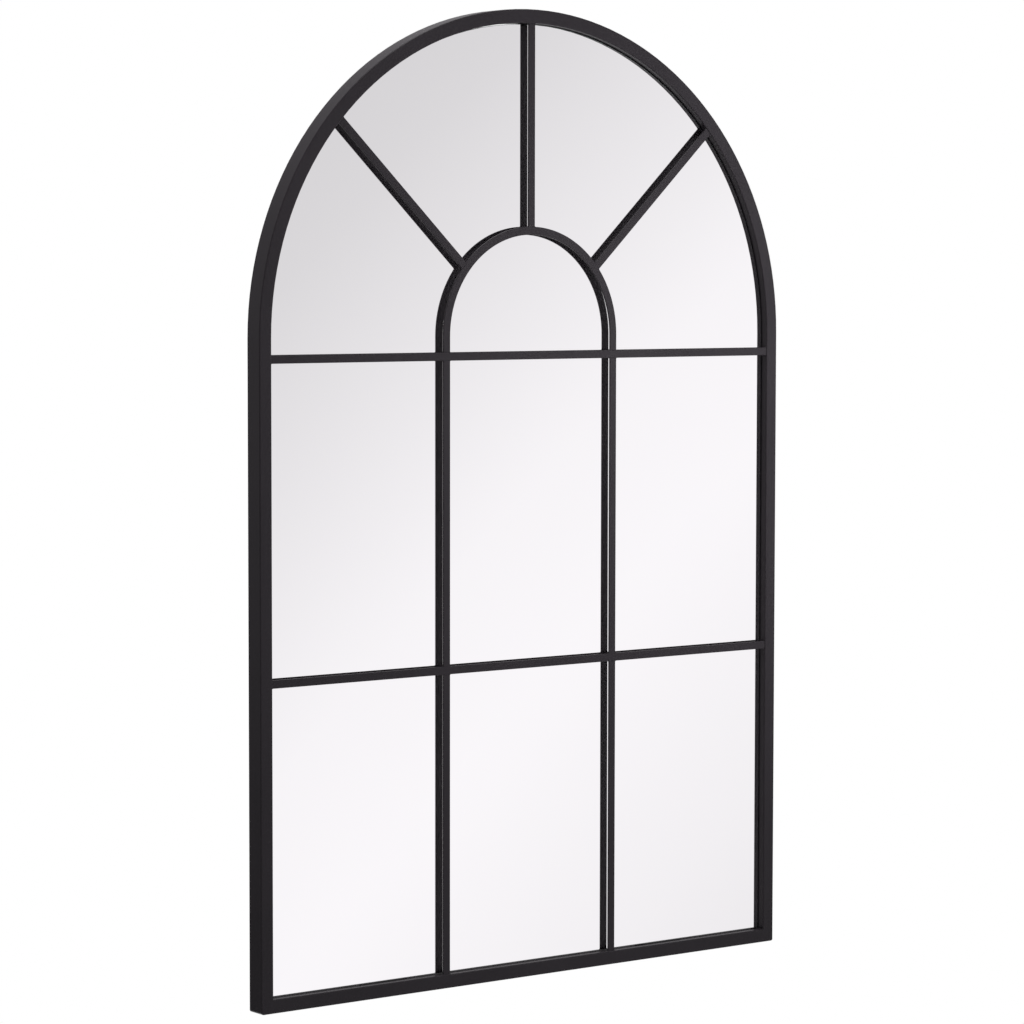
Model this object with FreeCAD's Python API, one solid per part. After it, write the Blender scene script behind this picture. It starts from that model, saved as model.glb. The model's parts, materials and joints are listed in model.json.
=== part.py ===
import FreeCAD, Part
import math
import os

# Arched window mirror that hangs on a wall. Millimetres.
# X runs across the mirror, Z runs up, and -Y is the way the mirror faces.
# The origin is midway between the two keyholes, in the plane of the frame's back.

# Overall outline
overall_width = 800.0
overall_height = 1200.0
corner_radius = 4.0          # ground-off lower corners of the outline

# Frame tube
tube_width = 17.0            # seen from the front
tube_depth = 27.0
tube_wall = 1.5
tube_corner = 1.5            # outer corner radius of the tube's section
tube_bore_corner = 0.2       # least corner radius inside the tube

# Flat bars of the window grid
bar_width = 10.0
bar_thickness = 2.0
bar_edge = 0.5               # rounding of the bars' front edges
bar_setback = 1.0            # bars' front faces behind the frame's front face
upright_spacing = 258.0      # centre line to centre line
lower_crossbar_height = 392.5
upper_crossbar_drop = 24.5   # centre line below the springing of both arches
spoke_angle = 46.4           # side spokes, from the vertical
spoke_aim_drop = 12.0        # the side spokes' lines cross this far below the arch centre

# Glass and board
glass_recess = 10.0          # glass front face behind the frame's front face
glass_thickness = 4.0
glass_clearance = 1.0        # between the glass and the tubes, all round
glass_bevel = 0.4            # ground edge of the glass
setting_strip_length = 60.0
setting_strip_width = 6.0
setting_strip_place = 220.0  # strip centre from the middle of the rail
tape_thickness = 3.0
tape_width = 25.0
tape_count = 5
tape_spacing = 150.0
tape_end_margin = 45.0       # from a strip's ends to the glass edge
board_thickness = 3.0
board_clearance = 1.5

# Lugs and screws that hold the board
lug_length = 20.0            # along the tube
lug_reach = 14.0             # from the tube's inner face
lug_thickness = 2.0
lug_corner = 2.0
lug_hole_reach = 8.0         # hole centre from the tube's inner face
lug_low_height = 110.0       # lowest stile lugs above the bottom edge
lug_high_drop = 100.0        # highest stile lugs below the springing
lug_rail_place = 190.0       # rail lugs from the middle
lug_arch_angles = [40.0, 90.0, 140.0]
screw_diameter = 4.0
screw_length = 5.0
screw_head_diameter = 8.0
screw_head_height = 2.4
screw_drive_width = 4.6      # cross recess, tip to tip
screw_drive_slot = 0.9
screw_drive_depth = 1.3
screw_play = 0.5             # board hole over the screw's diameter
thread_play = 0.1            # lug hole over the screw's diameter

# Hanger plates and wall bumpers
hanger_drop = 50.0           # keyhole entries below the springing
hanger_length = 56.0
hanger_reach = 24.0
hanger_thickness = 2.0
hanger_corner = 3.0
keyhole_reach = 12.0         # keyhole centre line from the stile's inner face
keyhole_entry = 10.0         # entry diameter
keyhole_slot = 5.0           # slot width
keyhole_rise = 12.0          # entry centre to slot end centre
bumper_diameter = 11.0
bumper_thickness = 3.0
bumper_crown = 1.0           # rounding of a bumper's rim
bumper_low_place = 330.0     # lower bumpers from the middle of the rail
bumper_arch_angle = 30.0     # upper bumpers, on the arch, from the springing line

# Working values
cut_margin = 1.0             # cutters run this far past what they cut
touch = 1e-6                 # two places closer than this are one

# Derived places
half_width = overall_width / 2
inner_half = half_width - tube_width
springing = hanger_drop
bottom = springing + half_width - overall_height
rail_top = bottom + tube_width
front = -tube_depth
bar_front = front + bar_setback
bar_back = bar_front + bar_thickness
glass_front = front + glass_recess
glass_back = glass_front + glass_thickness
board_front = glass_back + tape_thickness
board_back = board_front + board_thickness
lug_front = board_front - lug_thickness
upright_place = upright_spacing / 2
upper_crossbar = springing - upper_crossbar_drop
lower_crossbar = bottom + lower_crossbar_height
small_arch_outer = upright_place + bar_width / 2
depth_axis = FreeCAD.Vector(0, 1, 0)
arch_centre = FreeCAD.Vector(0, 0, springing)


def place(x, y, z):
    return FreeCAD.Vector(x, y, z)


def box(x_low, x_high, y_low, y_high, z_low, z_high):
    """Block between two limits on each axis."""
    return Part.makeBox(x_high - x_low, y_high - y_low, z_high - z_low, place(x_low, y_low, z_low))


def cylinder(radius, x, y_low, y_high, z):
    """Round bar along Y between two depths."""
    return Part.makeCylinder(radius, y_high - y_low, place(x, y_low, z), depth_axis)


def edges_along(shape, axis):
    """Straight edges of a shape that run along one axis, 0 to 2 for X to Z."""
    found = []
    for edge in shape.Edges:
        sizes = [edge.BoundBox.XLength, edge.BoundBox.YLength, edge.BoundBox.ZLength]
        if sizes[axis] > touch and sum(sizes) - sizes[axis] < touch:
            found.append(edge)
    return found


def rounded_section(x_low, x_high, y_low, y_high, z, radius, only_front=False):
    """Rectangle with rounded corners in a level plane, as a face."""
    block = box(x_low, x_high, y_low, y_high, z, z + tube_wall)
    corners = edges_along(block, 2)
    if only_front:
        corners = [e for e in corners if e.BoundBox.YMax < y_low + touch]
    rounded = block.makeFillet(radius, corners)
    return next(f for f in rounded.Faces if f.BoundBox.ZMax < z + touch)


def tube_section(x_low, x_high, z):
    """Hollow tube section with its depth along Y."""
    outer = rounded_section(x_low, x_high, front, 0.0, z, tube_corner)
    bore_corner = max(tube_corner - tube_wall, tube_bore_corner)
    inner = rounded_section(x_low + tube_wall, x_high - tube_wall, front + tube_wall, -tube_wall, z,
                            bore_corner)
    return outer.cut(inner).Faces[0]


def arched_sheet(gap, y_low, y_high):
    """Sheet that fills the frame's inside outline, less a gap all round."""
    half = inner_half - gap
    low = rail_top + gap
    left_foot = place(-half, y_low, low)
    right_foot = place(half, y_low, low)
    right_spring = place(half, y_low, springing)
    left_spring = place(-half, y_low, springing)
    crown = place(0, y_low, springing + half)
    outline = Part.Wire([
        Part.LineSegment(left_foot, right_foot).toShape(),
        Part.LineSegment(right_foot, right_spring).toShape(),
        Part.Arc(right_spring, crown, left_spring).toShape(),
        Part.LineSegment(left_spring, left_foot).toShape(),
    ])
    return Part.Face(outline).extrude(place(0, y_high - y_low, 0))


def half_round(section):
    """Section swept over the arches' centre from the right springing to the left."""
    return section.revolve(arch_centre, -depth_axis, 180)


# --- frame ---

def stile(side):
    """Straight side tube, mitred at the foot."""
    x_low = min(side * half_width, side * inner_half)
    tube = tube_section(x_low, x_low + tube_width, bottom).extrude(place(0, 0, springing - bottom))
    return tube.common(outline_with_ground_corners()).cut(mitre_wedge(side))


def bottom_rail():
    """Straight tube across the bottom, mitred at both ends."""
    section = tube_section(-tube_width / 2, tube_width / 2, 0.0)
    section.rotate(place(0, 0, 0), depth_axis, 90)
    section.translate(place(-half_width, 0, bottom + tube_width / 2))
    tube = section.extrude(place(overall_width, 0, 0)).common(outline_with_ground_corners())
    return tube.common(mitre_wedge(-1).fuse(mitre_wedge(1)).fuse(rail_middle()))


def mitre_wedge(side):
    """Corner triangle that belongs to the rail."""
    corner = place(side * half_width, front - cut_margin, bottom)
    inner = place(side * inner_half, front - cut_margin, rail_top)
    foot = place(side * inner_half, front - cut_margin, bottom)
    triangle = Part.Face(Part.makePolygon([corner, inner, foot, corner]))
    return triangle.extrude(place(0, tube_depth + 2 * cut_margin, 0))


def rail_middle():
    """Block around the rail between the two mitres."""
    return box(-inner_half, inner_half, front - cut_margin, cut_margin, bottom, rail_top)


def outline_with_ground_corners():
    """Block of the straight part's outline, with the two lower corners rounded."""
    block = box(-half_width, half_width, front - cut_margin, cut_margin, bottom, springing)
    corners = [e for e in edges_along(block, 1) if e.BoundBox.ZMax < bottom + touch]
    return block.makeFillet(corner_radius, corners)


def arch_tube():
    """Tube rolled to the half round over the stiles."""
    return half_round(tube_section(inner_half, half_width, springing))


# --- window grid ---

def bar_section(x_low, z):
    """Flat bar's section with its two front corners rounded."""
    return rounded_section(x_low, x_low + bar_width, bar_front, bar_back, z, bar_edge, only_front=True)


def straight_bar(length):
    """Flat bar that stands on the origin."""
    return bar_section(-bar_width / 2, 0.0).extrude(place(0, 0, length))


def crossbar(height):
    """Full-width level bar between the stiles."""
    bar = straight_bar(2 * inner_half)
    bar.rotate(place(0, 0, 0), depth_axis, 90)
    bar.translate(place(-inner_half, 0, height))
    return bar


def upright(side, z_low, z_high):
    """Upright bar between two level pieces."""
    bar = straight_bar(z_high - z_low)
    bar.translate(place(side * upright_place, 0, z_low))
    return bar


def small_arch():
    """Half-round bar with two straight legs that stand on the upper crossbar."""
    foot = upper_crossbar + bar_width / 2
    arch = half_round(bar_section(upright_place - bar_width / 2, springing))
    for side in (-1, 1):
        arch = arch.fuse(upright(side, foot, springing))
    return arch.removeSplitter()


def spoke(angle, aim_height):
    """Bar from the small arch to the arch tube, at an angle from the vertical."""
    bar = straight_bar(half_width + spoke_aim_drop)
    bar.rotate(place(0, 0, 0), depth_axis, angle)
    bar.translate(place(0, 0, aim_height))
    within = cylinder(inner_half, 0, bar_front, bar_back, springing)
    return bar.common(within).cut(cylinder(small_arch_outer, 0, bar_front, bar_back, springing))


# --- glass, tape and board ---

def mirror_glass():
    """Arched mirror sheet with ground edges."""
    sheet = arched_sheet(glass_clearance, glass_front, glass_back)
    rim = [e for e in sheet.Edges if e.BoundBox.YLength < touch]
    return sheet.makeChamfer(glass_bevel, rim)


def setting_strips():
    """Rubber strips under the glass, on the bottom rail."""
    middle = (glass_front + glass_back) / 2
    return [
        box(side * setting_strip_place - setting_strip_length / 2,
            side * setting_strip_place + setting_strip_length / 2,
            middle - setting_strip_width / 2, middle + setting_strip_width / 2,
            rail_top, rail_top + glass_clearance)
        for side in (-1, 1)
    ]


def mounting_tape():
    """Upright foam tape strips between the glass and the board."""
    strips = []
    for index in range(tape_count):
        centre = (index - (tape_count - 1) / 2) * tape_spacing
        widest = abs(centre) + tape_width / 2
        top = springing + math.sqrt(inner_half ** 2 - widest ** 2) - tape_end_margin
        strips.append(box(centre - tape_width / 2, centre + tape_width / 2, glass_back, board_front,
                          rail_top + tape_end_margin, top))
    return strips


def lug_frames():
    """Foot point, inward direction and turn about Y of each lug."""
    frames = []
    lowest = bottom + lug_low_height
    highest = springing - lug_high_drop
    for height in (lowest, (lowest + highest) / 2, highest):
        frames.append((place(-inner_half, 0, height), place(1, 0, 0), 0.0))
        frames.append((place(inner_half, 0, height), place(-1, 0, 0), 180.0))
    for side in (-1, 1):
        frames.append((place(side * lug_rail_place, 0, rail_top), place(0, 0, 1), -90.0))
    chord_reach = math.sqrt(inner_half ** 2 - (lug_length / 2) ** 2)
    for degrees in lug_arch_angles:
        outward = place(math.cos(math.radians(degrees)), 0, math.sin(math.radians(degrees)))
        frames.append((arch_centre + outward * chord_reach, -outward, 180.0 - degrees))
    return frames


def lug_holes():
    """Centre of each lug's hole, in the plane of the back."""
    return [foot + inward * lug_hole_reach for foot, inward, turn in lug_frames()]


def board_lugs():
    """Threaded lugs welded to the tubes' inner faces."""
    hole_radius = (screw_diameter + thread_play) / 2
    lugs = []
    for (foot, inward, turn), hole in zip(lug_frames(), lug_holes()):
        lug = box(0.0, lug_reach, lug_front, board_front, -lug_length / 2, lug_length / 2)
        tip_corners = [e for e in edges_along(lug, 1) if e.BoundBox.XMin > lug_reach - touch]
        lug = lug.makeFillet(lug_corner, tip_corners)
        lug.rotate(place(0, 0, 0), depth_axis, turn)
        lug.translate(foot)
        lugs.append(lug.cut(cylinder(hole_radius, hole.x, lug_front, board_front, hole.z)))
    return lugs


def backing_board():
    """Arched board with a clearance hole at each lug."""
    board = arched_sheet(board_clearance, board_front, board_back)
    hole_radius = (screw_diameter + screw_play) / 2
    for hole in lug_holes():
        board = board.cut(cylinder(hole_radius, hole.x, board_front, board_back, hole.z))
    return board


def board_screws():
    """Pan-head screws through the board into the lugs."""
    top = board_back + screw_head_height
    arm = screw_drive_width / 2
    slot = screw_drive_slot / 2
    screws = []
    for hole in lug_holes():
        head = cylinder(screw_head_diameter / 2, hole.x, board_back, top, hole.z)
        rim = [e for e in head.Edges if e.BoundBox.YMin > top - touch]
        head = head.makeFillet(screw_head_height / 2, rim)
        screw = head.fuse(cylinder(screw_diameter / 2, hole.x, board_back - screw_length, board_back, hole.z))
        for half_x, half_z in ((arm, slot), (slot, arm)):
            screw = screw.cut(box(hole.x - half_x, hole.x + half_x, top - screw_drive_depth, top + cut_margin,
                                  hole.z - half_z, hole.z + half_z))
        screws.append(screw.removeSplitter())
    return screws


# --- hanging ---

def hanger_plate(side):
    """Keyhole plate welded to a stile's inner face, flush with the back."""
    edge = side * inner_half
    tip = edge - side * hanger_reach
    middle = keyhole_rise / 2
    plate = box(min(edge, tip), max(edge, tip), -hanger_thickness, 0.0,
                middle - hanger_length / 2, middle + hanger_length / 2)
    tip_corners = [e for e in edges_along(plate, 1) if abs(e.BoundBox.XMax - tip) < touch]
    plate = plate.makeFillet(hanger_corner, tip_corners)
    centre = edge - side * keyhole_reach
    entry = cylinder(keyhole_entry / 2, centre, -hanger_thickness, 0.0, 0.0)
    slot_half = keyhole_slot / 2
    slot = box(centre - slot_half, centre + slot_half, -hanger_thickness, 0.0, 0.0, keyhole_rise)
    slot_end = cylinder(slot_half, centre, -hanger_thickness, 0.0, keyhole_rise)
    return plate.cut(entry.fuse(slot).fuse(slot_end))


def wall_bumpers():
    """Rubber buttons stuck to the back of the frame."""
    mid_radius = half_width - tube_width / 2
    angle = math.radians(bumper_arch_angle)
    bumpers = []
    for side in (-1, 1):
        for x, z in ((side * bumper_low_place, bottom + tube_width / 2),
                     (side * mid_radius * math.cos(angle), springing + mid_radius * math.sin(angle))):
            button = cylinder(bumper_diameter / 2, x, 0.0, bumper_thickness, z)
            rim = [e for e in button.Edges if e.BoundBox.YMin > bumper_thickness - touch]
            bumpers.append(button.makeFillet(bumper_crown, rim))
    return bumpers


def write(name, shape):
    """Write one sub-part, which is one solid or a group of separate solids."""
    solids = shape if isinstance(shape, list) else [shape]
    kept = Part.makeCompound(solids) if len(solids) > 1 else solids[0]
    for solid in solids:
        if not solid.isValid() or len(solid.Solids) != 1:
            print("check", name, "valid", solid.isValid(), "solids", len(solid.Solids))
    kept.exportStep("parts/" + name + ".step")
    print(name, "solids", len(kept.Solids), "volume", round(kept.Volume, 1))


def main():
    os.makedirs("parts", exist_ok=True)
    upper_top = upper_crossbar - bar_width / 2
    lower_top = lower_crossbar + bar_width / 2
    lower_under = lower_crossbar - bar_width / 2
    write("arch_tube", arch_tube())
    write("left_stile", stile(-1))
    write("right_stile", stile(1))
    write("bottom_rail", bottom_rail())
    write("upper_crossbar", crossbar(upper_crossbar))
    write("lower_crossbar", crossbar(lower_crossbar))
    write("left_lower_upright", upright(-1, rail_top, lower_under))
    write("left_upper_upright", upright(-1, lower_top, upper_top))
    write("right_lower_upright", upright(1, rail_top, lower_under))
    write("right_upper_upright", upright(1, lower_top, upper_top))
    write("small_arch", small_arch())
    write("left_spoke", spoke(-spoke_angle, springing - spoke_aim_drop))
    write("centre_spoke", spoke(0.0, springing))
    write("right_spoke", spoke(spoke_angle, springing - spoke_aim_drop))
    write("mirror_glass", mirror_glass())
    write("setting_strips", setting_strips())
    write("mounting_tape", mounting_tape())
    write("backing_board", backing_board())
    write("board_lugs", board_lugs())
    write("board_screws", board_screws())
    write("left_hanger_plate", hanger_plate(-1))
    write("right_hanger_plate", hanger_plate(1))
    write("wall_bumpers", wall_bumpers())


main()
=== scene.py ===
import json
import math
import bpy
from mathutils import Matrix, Vector


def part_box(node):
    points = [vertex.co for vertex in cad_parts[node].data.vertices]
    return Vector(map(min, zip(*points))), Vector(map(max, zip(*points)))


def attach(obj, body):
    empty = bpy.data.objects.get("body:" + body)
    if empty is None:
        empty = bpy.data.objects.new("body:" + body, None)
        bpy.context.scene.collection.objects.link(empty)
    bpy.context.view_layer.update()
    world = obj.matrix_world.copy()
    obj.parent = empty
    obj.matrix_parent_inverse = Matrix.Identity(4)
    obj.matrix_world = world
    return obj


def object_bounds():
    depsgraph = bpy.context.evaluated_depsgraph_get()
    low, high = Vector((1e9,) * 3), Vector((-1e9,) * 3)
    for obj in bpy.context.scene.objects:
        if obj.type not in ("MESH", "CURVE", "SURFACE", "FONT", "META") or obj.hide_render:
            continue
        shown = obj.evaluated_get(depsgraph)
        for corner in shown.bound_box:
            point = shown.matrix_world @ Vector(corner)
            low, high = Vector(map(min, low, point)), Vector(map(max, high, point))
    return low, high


# Arched window mirror: finishes, weld detail, studio and camera. Metres, in the part's own frame.
# The origin is midway between the keyholes, in the plane of the frame's back; the mirror faces -Y.

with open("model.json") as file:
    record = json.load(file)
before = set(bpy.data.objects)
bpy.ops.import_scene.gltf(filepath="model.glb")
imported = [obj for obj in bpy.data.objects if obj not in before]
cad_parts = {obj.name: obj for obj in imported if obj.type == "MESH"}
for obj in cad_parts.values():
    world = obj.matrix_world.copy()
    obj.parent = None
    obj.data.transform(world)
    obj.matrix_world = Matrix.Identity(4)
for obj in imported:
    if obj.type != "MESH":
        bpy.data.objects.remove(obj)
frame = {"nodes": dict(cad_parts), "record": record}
nodes = frame["nodes"]
cad_low, cad_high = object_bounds()

MM = 0.001


# --- sizes worked out from the frame ---

glass_front, glass_back = [end.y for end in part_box("mirror_glass")]
bar_front, bar_back = [end.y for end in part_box("lower_crossbar")]
lower_bar = [end.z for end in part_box("lower_crossbar")]         # underside and top
upper_bar = [end.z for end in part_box("upper_crossbar")]
upright_inner, upright_outer = [end.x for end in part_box("right_lower_upright")]
rail_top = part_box("bottom_rail")[1].z
tube_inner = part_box("right_stile")[0].x                         # also the arch tube's inner radius
small_arch_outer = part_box("small_arch")[1].x
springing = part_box("small_arch")[1].z - small_arch_outer        # centre height of both arches
half_bar = (upright_outer - upright_inner) / 2

SPOKE_AIM_DROP = 12.0 * MM            # the side spokes' lines cross this far below the arch centre
SPOKE_TURN = math.radians(46.4)       # of a side spoke, from upright


# --- shader graphs ---

class Wire:
    """An output socket that takes part in arithmetic."""

    def __init__(self, graph, socket):
        self.graph = graph
        self.socket = socket

    def math(self, operation, *values):
        return self.graph.math(operation, self, *values)

    def __add__(self, other):
        return self.math("ADD", other)

    def __radd__(self, other):
        return self.math("ADD", other)

    def __sub__(self, other):
        return self.math("SUBTRACT", other)

    def __rsub__(self, other):
        return self.graph.math("SUBTRACT", other, self)

    def __mul__(self, other):
        return self.math("MULTIPLY", other)

    def __rmul__(self, other):
        return self.math("MULTIPLY", other)

    def above(self, other):
        return self.math("GREATER_THAN", other)

    def most(self, other):
        return self.math("MAXIMUM", other)

    def rise(self, low, high):
        """0 below low, 1 above high, smooth between."""
        settings = {"interpolation_type": "SMOOTHSTEP"}
        sockets = {"Value": self, "From Min": low, "From Max": high}
        return self.graph.add("ShaderNodeMapRange", settings, sockets)["Result"]


class Placed:
    """A node in a graph, whose outputs are read by name."""

    def __init__(self, graph, node):
        self.graph = graph
        self.node = node

    def __getitem__(self, name):
        return Wire(self.graph, self.node.outputs[name])


class Graph:
    """A node tree that is written as code."""

    def __init__(self, tree):
        self.tree = tree
        tree.nodes.clear()

    def feed(self, socket, value):
        if isinstance(value, Wire):
            self.tree.links.new(value.socket, socket)
        else:
            socket.default_value = value

    def add(self, kind, settings=None, sockets=None):
        """Any node: its settings first, then the values or links of its sockets."""
        node = self.tree.nodes.new(kind)
        for name, value in (settings or {}).items():
            if name == "stops":
                self.set_stops(node.color_ramp, value)
            else:
                setattr(node, name, value)
        for name, value in (sockets or {}).items():
            self.feed(node.inputs[name], value)
        return Placed(self, node)

    def set_stops(self, ramp, stops):
        while len(ramp.elements) < len(stops):
            ramp.elements.new(1.0)
        for element, (position, colour) in zip(ramp.elements, stops):
            element.position = position
            element.color = colour

    def math(self, operation, *values):
        return self.add("ShaderNodeMath", {"operation": operation}, dict(enumerate(values)))["Value"]

    def blend(self, factor, low, high):
        """Colour between two colours."""
        node = self.add("ShaderNodeMix", {"data_type": "RGBA"}).node
        for number, value in ((0, factor), (6, low), (7, high)):     # the colour sockets of a Mix node
            self.feed(node.inputs[number], value)
        return Wire(self, node.outputs[2])

    def mix(self, factor, low, high):
        """Shader between two shaders."""
        return self.add("ShaderNodeMixShader", None, {0: factor, 1: low, 2: high})["Shader"]

    def place(self):
        """Position on the object, in metres."""
        return self.add("ShaderNodeTexCoord")["Object"]

    def parts(self, vector):
        """X, Y and Z of a vector."""
        split = self.add("ShaderNodeSeparateXYZ", None, {"Vector": vector})
        return split["X"], split["Y"], split["Z"]

    def noise(self, size, detail=2.0, stretch=(1, 1, 1)):
        """Cloudy pattern from 0 to 1, whose features are about size metres across."""
        spot = self.add("ShaderNodeMapping", {"vector_type": "POINT"},
                        {"Vector": self.place(), "Scale": stretch})
        sockets = {"Vector": spot["Vector"], "Scale": 1 / size, "Detail": detail}
        return self.add("ShaderNodeTexNoise", None, sockets)["Fac"]

    def cells(self, size):
        """Distance from the middle of round cells about size metres across."""
        sockets = {"Vector": self.place(), "Scale": 1 / size}
        return self.add("ShaderNodeTexVoronoi", None, sockets)["Distance"]

    def bump(self, height, depth, below=None):
        """Surface normal from a height pattern of the given depth in metres."""
        sockets = {"Height": height, "Distance": depth, "Strength": 1.0}
        if below:
            sockets["Normal"] = below
        return self.add("ShaderNodeBump", None, sockets)["Normal"]


def new_finish(name):
    material = bpy.data.materials.new(name)
    material.use_nodes = True
    return material, Graph(material.node_tree)


def surface(graph, sockets):
    shader = graph.add("ShaderNodeBsdfPrincipled", None, sockets)
    graph.add("ShaderNodeOutputMaterial", None, {"Surface": shader["BSDF"]})


# --- finishes ---

COAT_DARK = (0.0175, 0.0149, 0.0178, 1)
COAT_LIGHT = (0.0310, 0.0264, 0.0315, 1)
COAT_GLOSS = 0.16                     # specular level of the paint film; 0.5 is a plain film's
PEEL_DEPTH = 0.012 * MM
GRAIN_DEPTH = 0.0015 * MM
FACE_SKIN = 0.05 * MM                 # depth taken as the glass's front or back face
SCREEN_PITCH = 2.2 * MM               # mesh print on the hardboard
SCREEN_DEPTH = 0.10 * MM
FIBRE_DEPTH = 0.12 * MM


def powder_coat():
    """Satin black powder coat with a fine orange peel."""
    material, graph = new_finish("satin_black_powder_coat")
    cloud = graph.noise(110 * MM, 3.0)
    streak = graph.noise(6 * MM, 2.0, stretch=(1, 1, 0.06))
    speck = graph.noise(0.7 * MM, 1.0)
    peel = graph.noise(1.6 * MM, 2.0)
    grain = graph.noise(0.35 * MM, 1.0)
    surface(graph, {
        "Base Color": graph.blend(cloud * 0.6 + streak * 0.32 + speck * 0.08, COAT_DARK, COAT_LIGHT),
        "Roughness": 0.26 + cloud * 0.07 + speck * 0.03,
        "IOR": 1.45,
        "Specular IOR Level": COAT_GLOSS,
        "Normal": graph.bump(grain, GRAIN_DEPTH, graph.bump(peel, PEEL_DEPTH)),
    })
    return material


def silvered_glass():
    """Mirror face, with greenish ground edges and grey protective paint behind."""
    material, graph = new_finish("silvered_glass")
    depth = graph.parts(graph.place())[1]
    is_face = (glass_front + FACE_SKIN - depth).above(0.0)
    is_back = (depth - (glass_back - FACE_SKIN)).above(0.0)
    haze = graph.noise(180 * MM, 4.0)
    ground = graph.noise(0.5 * MM, 2.0)
    silver = graph.blend(haze, (0.952, 0.957, 0.955, 1), (0.960, 0.964, 0.962, 1))
    edge = graph.blend(ground, (0.10, 0.17, 0.145, 1), (0.20, 0.29, 0.255, 1))
    paint = graph.blend(ground, (0.10, 0.105, 0.11, 1), (0.13, 0.135, 0.14, 1))
    surface(graph, {
        "Base Color": graph.blend(is_face, graph.blend(is_back, edge, paint), silver),
        "Metallic": is_face,
        "Roughness": (1.0 - is_face) * (0.35 + ground * 0.2) + is_face * (haze * 0.006),
    })
    return material


def black_rubber():
    """Matt moulded rubber."""
    material, graph = new_finish("black_rubber")
    cloud = graph.noise(4 * MM, 3.0)
    fine = graph.noise(0.3 * MM, 2.0)
    surface(graph, {
        "Base Color": graph.blend(cloud, (0.010, 0.010, 0.010, 1), (0.022, 0.021, 0.021, 1)),
        "Roughness": 0.62 + fine * 0.18,
        "Normal": graph.bump(fine, 0.02 * MM),
    })
    return material


def foam_tape():
    """White closed-cell foam."""
    material, graph = new_finish("white_foam_tape")
    cells = graph.cells(0.7 * MM)
    cloud = graph.noise(20 * MM, 3.0)
    surface(graph, {
        "Base Color": graph.blend(cloud, (0.66, 0.66, 0.63, 1), (0.76, 0.76, 0.74, 1)),
        "Roughness": 0.82 + cells * 0.1,
        "Normal": graph.bump(cells, 0.1 * MM),
    })
    return material


def hardboard():
    """Pressed brown fibre board with a screen pattern."""
    material, graph = new_finish("brown_hardboard")
    fibre = graph.noise(4 * MM, 6.0, stretch=(1, 1, 0.25))
    blotch = graph.noise(150 * MM, 4.0)
    fleck = graph.noise(1.2 * MM, 2.0)
    tone = fibre * 0.5 + blotch * 0.35 + fleck * 0.15
    across, _, up = graph.parts(graph.place())
    turns = 2 * math.pi / SCREEN_PITCH
    screen = (across * turns).math("SINE") * (up * turns).math("SINE")
    surface(graph, {
        "Base Color": graph.blend(tone, (0.105, 0.052, 0.026, 1), (0.270, 0.150, 0.082, 1)),
        "Roughness": 0.66 + fibre * 0.16,
        "Normal": graph.bump(screen, SCREEN_DEPTH, graph.bump(fibre, FIBRE_DEPTH)),
    })
    return material


def zinc_plate():
    """Bright zinc on the screws, finely brushed."""
    material, graph = new_finish("bright_zinc")
    brush = graph.noise(0.8 * MM, 3.0, stretch=(1, 1, 0.2))
    surface(graph, {
        "Base Color": graph.blend(brush, (0.50, 0.50, 0.49, 1), (0.68, 0.68, 0.66, 1)),
        "Metallic": 1.0,
        "Roughness": 0.26 + brush * 0.16,
        "Normal": graph.bump(brush, 0.01 * MM),
    })
    return material


def cover(names, material):
    """Give whole nodes one finish."""
    for name in names:
        for slot in nodes[name].material_slots:
            slot.material = material


# --- weld detail ---

FILLET_LEG = 2.0 * MM                 # paint-filled fillet in an inner corner of the bars
FILLET_SINK = 0.2 * MM                # into the bars, so that no gap shows
FILLET_FRONT = 0.5 * MM               # behind the bars' front faces
FILLET_BACK = 0.1 * MM                # in front of their back faces
FILLET_REACH = 0.97                   # how far along its legs the hollow runs
FILLET_HOLLOW = 0.08                  # bevel profile; under 0.25 is concave
FILLET_STEPS = 6                      # flats round the hollow
BEAD_RADIUS = 1.15 * MM
BEAD_PITCH = 1.75 * MM                # ripple to ripple
BEAD_RIPPLES = 9
BEAD_FLATNESS = 0.75                  # its depth over its width
BEAD_VOXEL = 0.2 * MM
BEAD_SMOOTHING = {"factor": 0.5, "iterations": 3}
BEAD_DEPTH = -0.6 * MM                # the bead's centre, in the groove behind the frame
BEAD_SHIFT = 0.6 * MM                 # outward from the stile's inner side
BEAD_HEIGHTS = (-12 * MM, 24 * MM)    # two to a keyhole plate
CREASE = math.radians(40)             # sharper edges than this stay sharp


def apply_place(thing):
    """Move an object's place and size into its mesh."""
    bpy.ops.object.select_all(action="DESELECT")
    thing.select_set(True)
    bpy.ops.object.transform_apply(location=True, rotation=True, scale=True)


def modify(kind, **settings):
    """A modifier on the active object, applied at once."""
    bpy.ops.object.modifier_add(type=kind)
    modifier = bpy.context.object.modifiers[-1]
    for name, value in settings.items():
        setattr(modifier, name, value)
    bpy.ops.object.modifier_apply(modifier=modifier.name)


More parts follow.
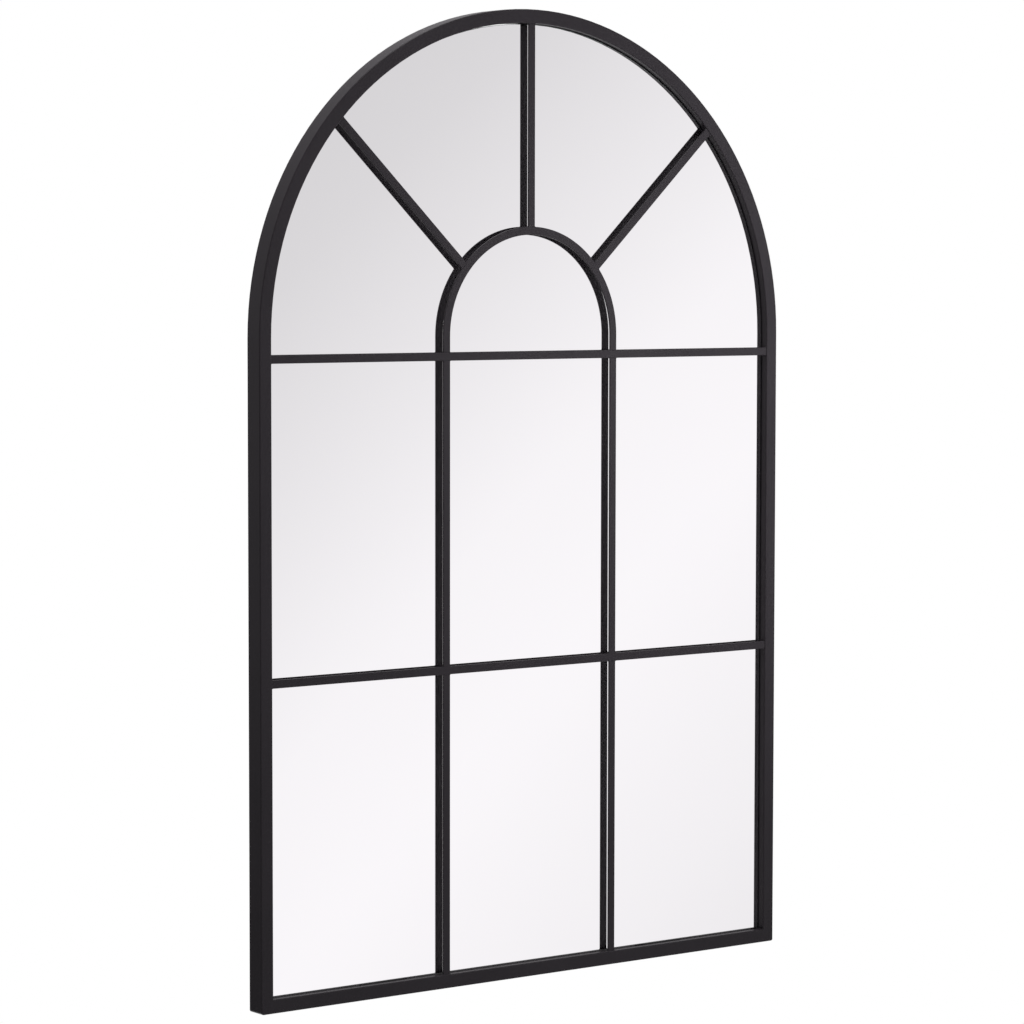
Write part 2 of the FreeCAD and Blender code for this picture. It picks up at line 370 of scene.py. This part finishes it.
def shape_fillet(front, back):
    """A concave fillet: its corner at the origin, its legs along +X and +Z."""
    bpy.ops.object.select_all(action="DESELECT")
    width = FILLET_LEG + FILLET_SINK
    middle = (FILLET_LEG - FILLET_SINK) / 2
    bpy.ops.mesh.primitive_cube_add(size=1, location=(middle, (front + back) / 2, middle))
    fillet = bpy.context.object
    fillet.scale = (width, back - front, width)
    apply_place(fillet)
    bpy.context.tool_settings.mesh_select_mode = (False, True, False)
    bpy.ops.object.mode_set(mode="EDIT")
    bpy.ops.mesh.select_all(action="DESELECT")
    bpy.ops.object.mode_set(mode="OBJECT")
    points = fillet.data.vertices
    for edge in fillet.data.edges:
        edge.select = all(min(points[i].co.x, points[i].co.z) > middle for i in edge.vertices)
    bpy.ops.object.mode_set(mode="EDIT")
    bpy.ops.mesh.bevel(offset=FILLET_REACH * width, segments=FILLET_STEPS, profile=FILLET_HOLLOW,
                       affect="EDGES")
    bpy.ops.object.mode_set(mode="OBJECT")
    return fillet


def shape_bead():
    """A rippled weld bead along Z, centred on the origin."""
    bpy.ops.object.select_all(action="DESELECT")
    foot = -BEAD_PITCH * (BEAD_RIPPLES - 1) / 2
    bpy.ops.mesh.primitive_uv_sphere_add(segments=20, ring_count=12, radius=BEAD_RADIUS,
                                         location=(0, 0, foot))
    bead = bpy.context.object
    bead.scale = (1, BEAD_FLATNESS, 1)
    apply_place(bead)
    modify("ARRAY", count=BEAD_RIPPLES, use_relative_offset=False, use_constant_offset=True,
           constant_offset_displace=(0, 0, BEAD_PITCH))
    modify("REMESH", mode="VOXEL", voxel_size=BEAD_VOXEL)
    modify("SMOOTH", **BEAD_SMOOTHING)
    return bead


def lay_copies(template, name, moves, finish):
    """Copies of a template, each moved by its own matrix, as one named piece."""
    copies = []
    for move in moves:
        copy = template.copy()
        copy.data = template.data.copy()
        bpy.context.scene.collection.objects.link(copy)
        copy.data.transform(move)
        copies.append(copy)
    bpy.ops.object.select_all(action="DESELECT")
    for copy in copies:
        copy.select_set(True)
    bpy.context.view_layer.objects.active = copies[0]
    bpy.ops.object.join()
    piece = bpy.context.object
    piece.name = name
    bpy.ops.object.mode_set(mode="EDIT")
    bpy.ops.mesh.select_all(action="SELECT")
    bpy.ops.mesh.normals_make_consistent(inside=False)
    bpy.ops.object.mode_set(mode="OBJECT")
    bpy.ops.object.shade_smooth_by_angle(angle=CREASE)
    piece.data.materials.append(finish)
    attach(piece, "root")


def corner(x, z, along, up):
    """Where a fillet goes: an inner corner, and the directions of its two edges there."""
    return Matrix(((along[0], 0, up[0], x), (0, 1, 0, 0), (along[1], 0, up[1], z), (0, 0, 0, 1)))


def both_sides(spots):
    """Corners given on the right, with the same ones on the left."""
    left = [(-x, z, (-along[0], along[1]), (-up[0], up[1])) for x, z, along, up in spots]
    return [corner(*spot) for spot in spots + left]


def spoke_corners(aim_height, turn):
    """The four inner corners of a spoke whose line leaves (0, aim_height), turned from upright."""
    line = Vector((math.sin(turn), math.cos(turn)))
    side = Vector((math.cos(turn), -math.sin(turn)))
    spots = []
    for sign in (-1, 1):
        start = Vector((0, aim_height - springing)) + side * (sign * half_bar)
        for radius, inward in ((small_arch_outer, 1), (tube_inner, -1)):
            lean = start.dot(line)
            reach = -lean + math.sqrt(lean * lean - start.dot(start) + radius * radius)
            spot = start + line * reach
            around = Vector((spot.y, -spot.x)).normalized()
            if around.dot(side) * sign < 0:
                around = -around
            spots.append((spot.x, spot.y + springing, tuple(around), tuple(line * inward)))
    return spots


def add_fillets(finish):
    """Fillets where the flat bars are welded to each other and to the tube."""
    template = shape_fillet(bar_front + FILLET_FRONT, bar_back - FILLET_BACK)
    right, left, up, down = (1, 0), (-1, 0), (0, 1), (0, -1)
    crossings = []
    for under, top in (lower_bar, upper_bar):
        for x, away in ((upright_inner, left), (upright_outer, right), (tube_inner, left)):
            crossings += [(x, under, away, down), (x, top, away, up)]
    lay_copies(template, "crossbar_fillets", both_sides(crossings), finish)
    feet = [(upright_inner, rail_top, left, up), (upright_outer, rail_top, right, up)]
    lay_copies(template, "upright_foot_fillets", both_sides(feet), finish)
    centre = [corner(*spot) for spot in spoke_corners(springing, 0.0)]
    sides = both_sides(spoke_corners(springing - SPOKE_AIM_DROP, SPOKE_TURN))
    lay_copies(template, "spoke_fillets", centre + sides, finish)
    bpy.data.objects.remove(template)


def add_beads(finish):
    """Weld beads between the keyhole plates and the stiles, on the back."""
    template = shape_bead()
    reach = tube_inner + BEAD_SHIFT
    spots = [(x, BEAD_DEPTH, z) for x in (-reach, reach) for z in BEAD_HEIGHTS]
    lay_copies(template, "hanger_weld_beads", [Matrix.Translation(spot) for spot in spots], finish)
    bpy.data.objects.remove(template)


# --- camera, lamps, studio and floor ---

CAMERA_PLACE = (-2.67859, -3.55041, 0.13170)
CAMERA_TURN = 36.9257                 # degrees right of the mirror's own depth axis
CAMERA_DROP = 3.8808                  # degrees below level
CAMERA_ROLL = 0.0820                  # degrees
CAMERA_LENS = 125.8716                # mm, on the sensor below
CAMERA_SENSOR = 36.0
CAMERA_RANGE = 60.0

LAMPS = (                             # name, place, aim, width, height, watts, spread, in reflections
    ("near_right_softbox", (0.75, -0.85, 0.05), (-0.12, 0, 0), 0.6, 0.8, 5.8, 110, False),
    ("left_softbox", (-1.6, -0.3, 1.0), (-0.4, 0, -0.1), 1.0, 1.2, 12, 180, False),
    ("top_softbox", (0.2, -0.35, 2.6), (0, 0, 0), 2.0, 1.4, 42, 180, True),
    ("back_softbox", (0.5, 3.0, 1.6), (0, 0, -0.1), 2.4, 2.0, 115, 180, False),
)

# Brightness of the studio across one slanted direction, as the mirror shows it; stops run from 0,
# against that direction, to 1, along it.
STUDIO_SLANT = (-0.7926, 0.0, 0.6097)
STUDIO_SHADES = [(0.0, 0.80), (0.17, 0.80), (0.20, 0.93), (0.225, 1.0), (0.243, 0.97), (0.282, 0.73),
                 (0.30, 0.68), (0.36, 0.68), (0.50, 0.84), (0.64, 0.70), (0.73, 0.63), (1.0, 0.78)]
# The half behind the mirror, which the paint's sides show; stops run from straight down to up.
BEHIND_SHADES = [(0.39, 0.12), (0.49, 0.58)]
BEHIND_START = (-0.05, 0.15)          # depth directions between which the front half gives way to it
STUDIO_TINT = (1.0, 0.9725, 1.0)
FILL_COLOUR = (0.97, 0.98, 1.0, 1)    # even light from all round
FILL_STRENGTH = 0.10

FLOOR_DROP = 0.9                      # floor below the mirror's bottom edge
FLOOR_RADIUS = 2.4
FLOOR_FADE = (0.35 * FLOOR_RADIUS, 0.98 * FLOOR_RADIUS)
FLOOR_PAINT = (0.8, 0.8, 0.8, 1)
FLOOR_GLOW = 0.80                     # keeps the floor white for the camera, with the shadow on it
MIRRORED_GLOW = 0.52                  # a little softer in the mirror, so that it reads as glass
WHITE = (1, 1, 1, 1)


def add_camera():
    data = bpy.data.cameras.new("photo_camera")
    data.lens = CAMERA_LENS
    data.sensor_width = CAMERA_SENSOR
    data.clip_end = CAMERA_RANGE
    camera = bpy.data.objects.new("photo_camera", data)
    bpy.context.scene.collection.objects.link(camera)
    turn = Matrix.Rotation(math.radians(-CAMERA_TURN), 4, "Z")
    tilt = Matrix.Rotation(math.radians(90 - CAMERA_DROP), 4, "X")
    roll = Matrix.Rotation(math.radians(CAMERA_ROLL), 4, "Z")
    camera.matrix_world = Matrix.Translation(CAMERA_PLACE) @ turn @ tilt @ roll
    bpy.context.scene.camera = camera


def add_lamp(name, place, aim, width, height, watts, spread, in_reflections):
    """Soft rectangular lamp that the camera doesn't see."""
    data = bpy.data.lights.new(name, "AREA")
    data.shape = "RECTANGLE"
    data.size = width
    data.size_y = height
    data.energy = watts
    data.spread = math.radians(spread)
    lamp = bpy.data.objects.new(name, data)
    bpy.context.scene.collection.objects.link(lamp)
    lamp.location = place
    lamp.rotation_euler = (Vector(aim) - Vector(place)).to_track_quat("-Z", "Y").to_euler()
    lamp.visible_glossy = in_reflections
    lamp.visible_camera = False


def studio_ramp(graph, level, shades):
    """Studio brightness at a level from -1 to 1, in the studio's own faint tint."""
    stops = [(spot, tuple(shade * part for part in STUDIO_TINT) + (1.0,)) for spot, shade in shades]
    return graph.add("ShaderNodeValToRGB", {"stops": stops}, {"Fac": level * 0.5 + 0.5})["Color"]


def add_studio():
    """White for the camera, soft shades in reflections, and an even fill as light."""
    world = bpy.data.worlds.new("studio")
    world.use_nodes = True
    bpy.context.scene.world = world
    graph = Graph(world.node_tree)
    direction = graph.add("ShaderNodeTexCoord")["Generated"]
    _, depth, up = graph.parts(direction)
    slant = graph.add("ShaderNodeVectorMath", {"operation": "DOT_PRODUCT"},
                      {0: direction, 1: STUDIO_SLANT})["Value"]
    before = studio_ramp(graph, slant, STUDIO_SHADES)
    behind = studio_ramp(graph, up, BEHIND_SHADES)
    shade = graph.blend(depth.rise(*BEHIND_START), before, behind)
    reflected = graph.add("ShaderNodeBackground", None, {"Color": shade})["Background"]
    backdrop = graph.add("ShaderNodeBackground", None, {"Color": WHITE})["Background"]
    fill = graph.add("ShaderNodeBackground", None,
                     {"Color": FILL_COLOUR, "Strength": FILL_STRENGTH})["Background"]
    path = graph.add("ShaderNodeLightPath")
    mirrored = path["Is Glossy Ray"].most(path["Is Transmission Ray"])
    shown = graph.mix(path["Is Camera Ray"], graph.mix(mirrored, fill, reflected), backdrop)
    graph.add("ShaderNodeOutputWorld", None, {"Surface": shown})


def floor_finish():
    """Matt white that fades out towards the rim and is clear from below."""
    material, graph = new_finish("studio_floor_white")
    x, y, _ = graph.parts(graph.place())
    reach = (x * x + y * y).math("SQRT")
    above = 1.0 - graph.add("ShaderNodeNewGeometry")["Backfacing"]
    inside = (1.0 - reach.rise(*FLOOR_FADE)) * above
    matt = graph.add("ShaderNodeBsdfDiffuse", None, {"Color": FLOOR_PAINT})["BSDF"]
    path = graph.add("ShaderNodeLightPath")
    mirrored = path["Is Glossy Ray"].most(path["Is Transmission Ray"])
    body = matt
    for seen, glow in ((mirrored, MIRRORED_GLOW), (path["Is Camera Ray"], FLOOR_GLOW)):
        white = graph.add("ShaderNodeEmission", None, {"Color": WHITE, "Strength": glow})["Emission"]
        lit = graph.add("ShaderNodeAddShader", None, {0: white, 1: matt})["Shader"]
        body = graph.mix(seen, body, lit)
    clear = graph.add("ShaderNodeBsdfTransparent")["BSDF"]
    graph.add("ShaderNodeOutputMaterial", None, {"Surface": graph.mix(inside, clear, body)})
    return material


def add_floor():
    """White floor disc under the hung mirror."""
    bpy.ops.object.select_all(action="DESELECT")
    bpy.ops.mesh.primitive_circle_add(vertices=96, radius=FLOOR_RADIUS, fill_type="NGON",
                                      location=(0, 0, cad_low.z - FLOOR_DROP))
    floor = bpy.context.object
    floor.name = "studio_floor"
    apply_place(floor)
    floor.data.materials.append(floor_finish())


# --- making ---

coat = powder_coat()
subparts = frame["record"]["subparts"]
cover([part["node"] for part in subparts if part["material_slot"] == "powder_coat"], coat)
cover(["mirror_glass"], silvered_glass())
cover(["setting_strips", "wall_bumpers"], black_rubber())
cover(["mounting_tape"], foam_tape())
cover(["backing_board"], hardboard())
cover(["board_screws"], zinc_plate())
add_fillets(coat)
add_beads(coat)

add_camera()
add_studio()
add_floor()
for lamp in LAMPS:
    add_lamp(*lamp)
bpy.context.scene.view_settings.view_transform = "Standard"
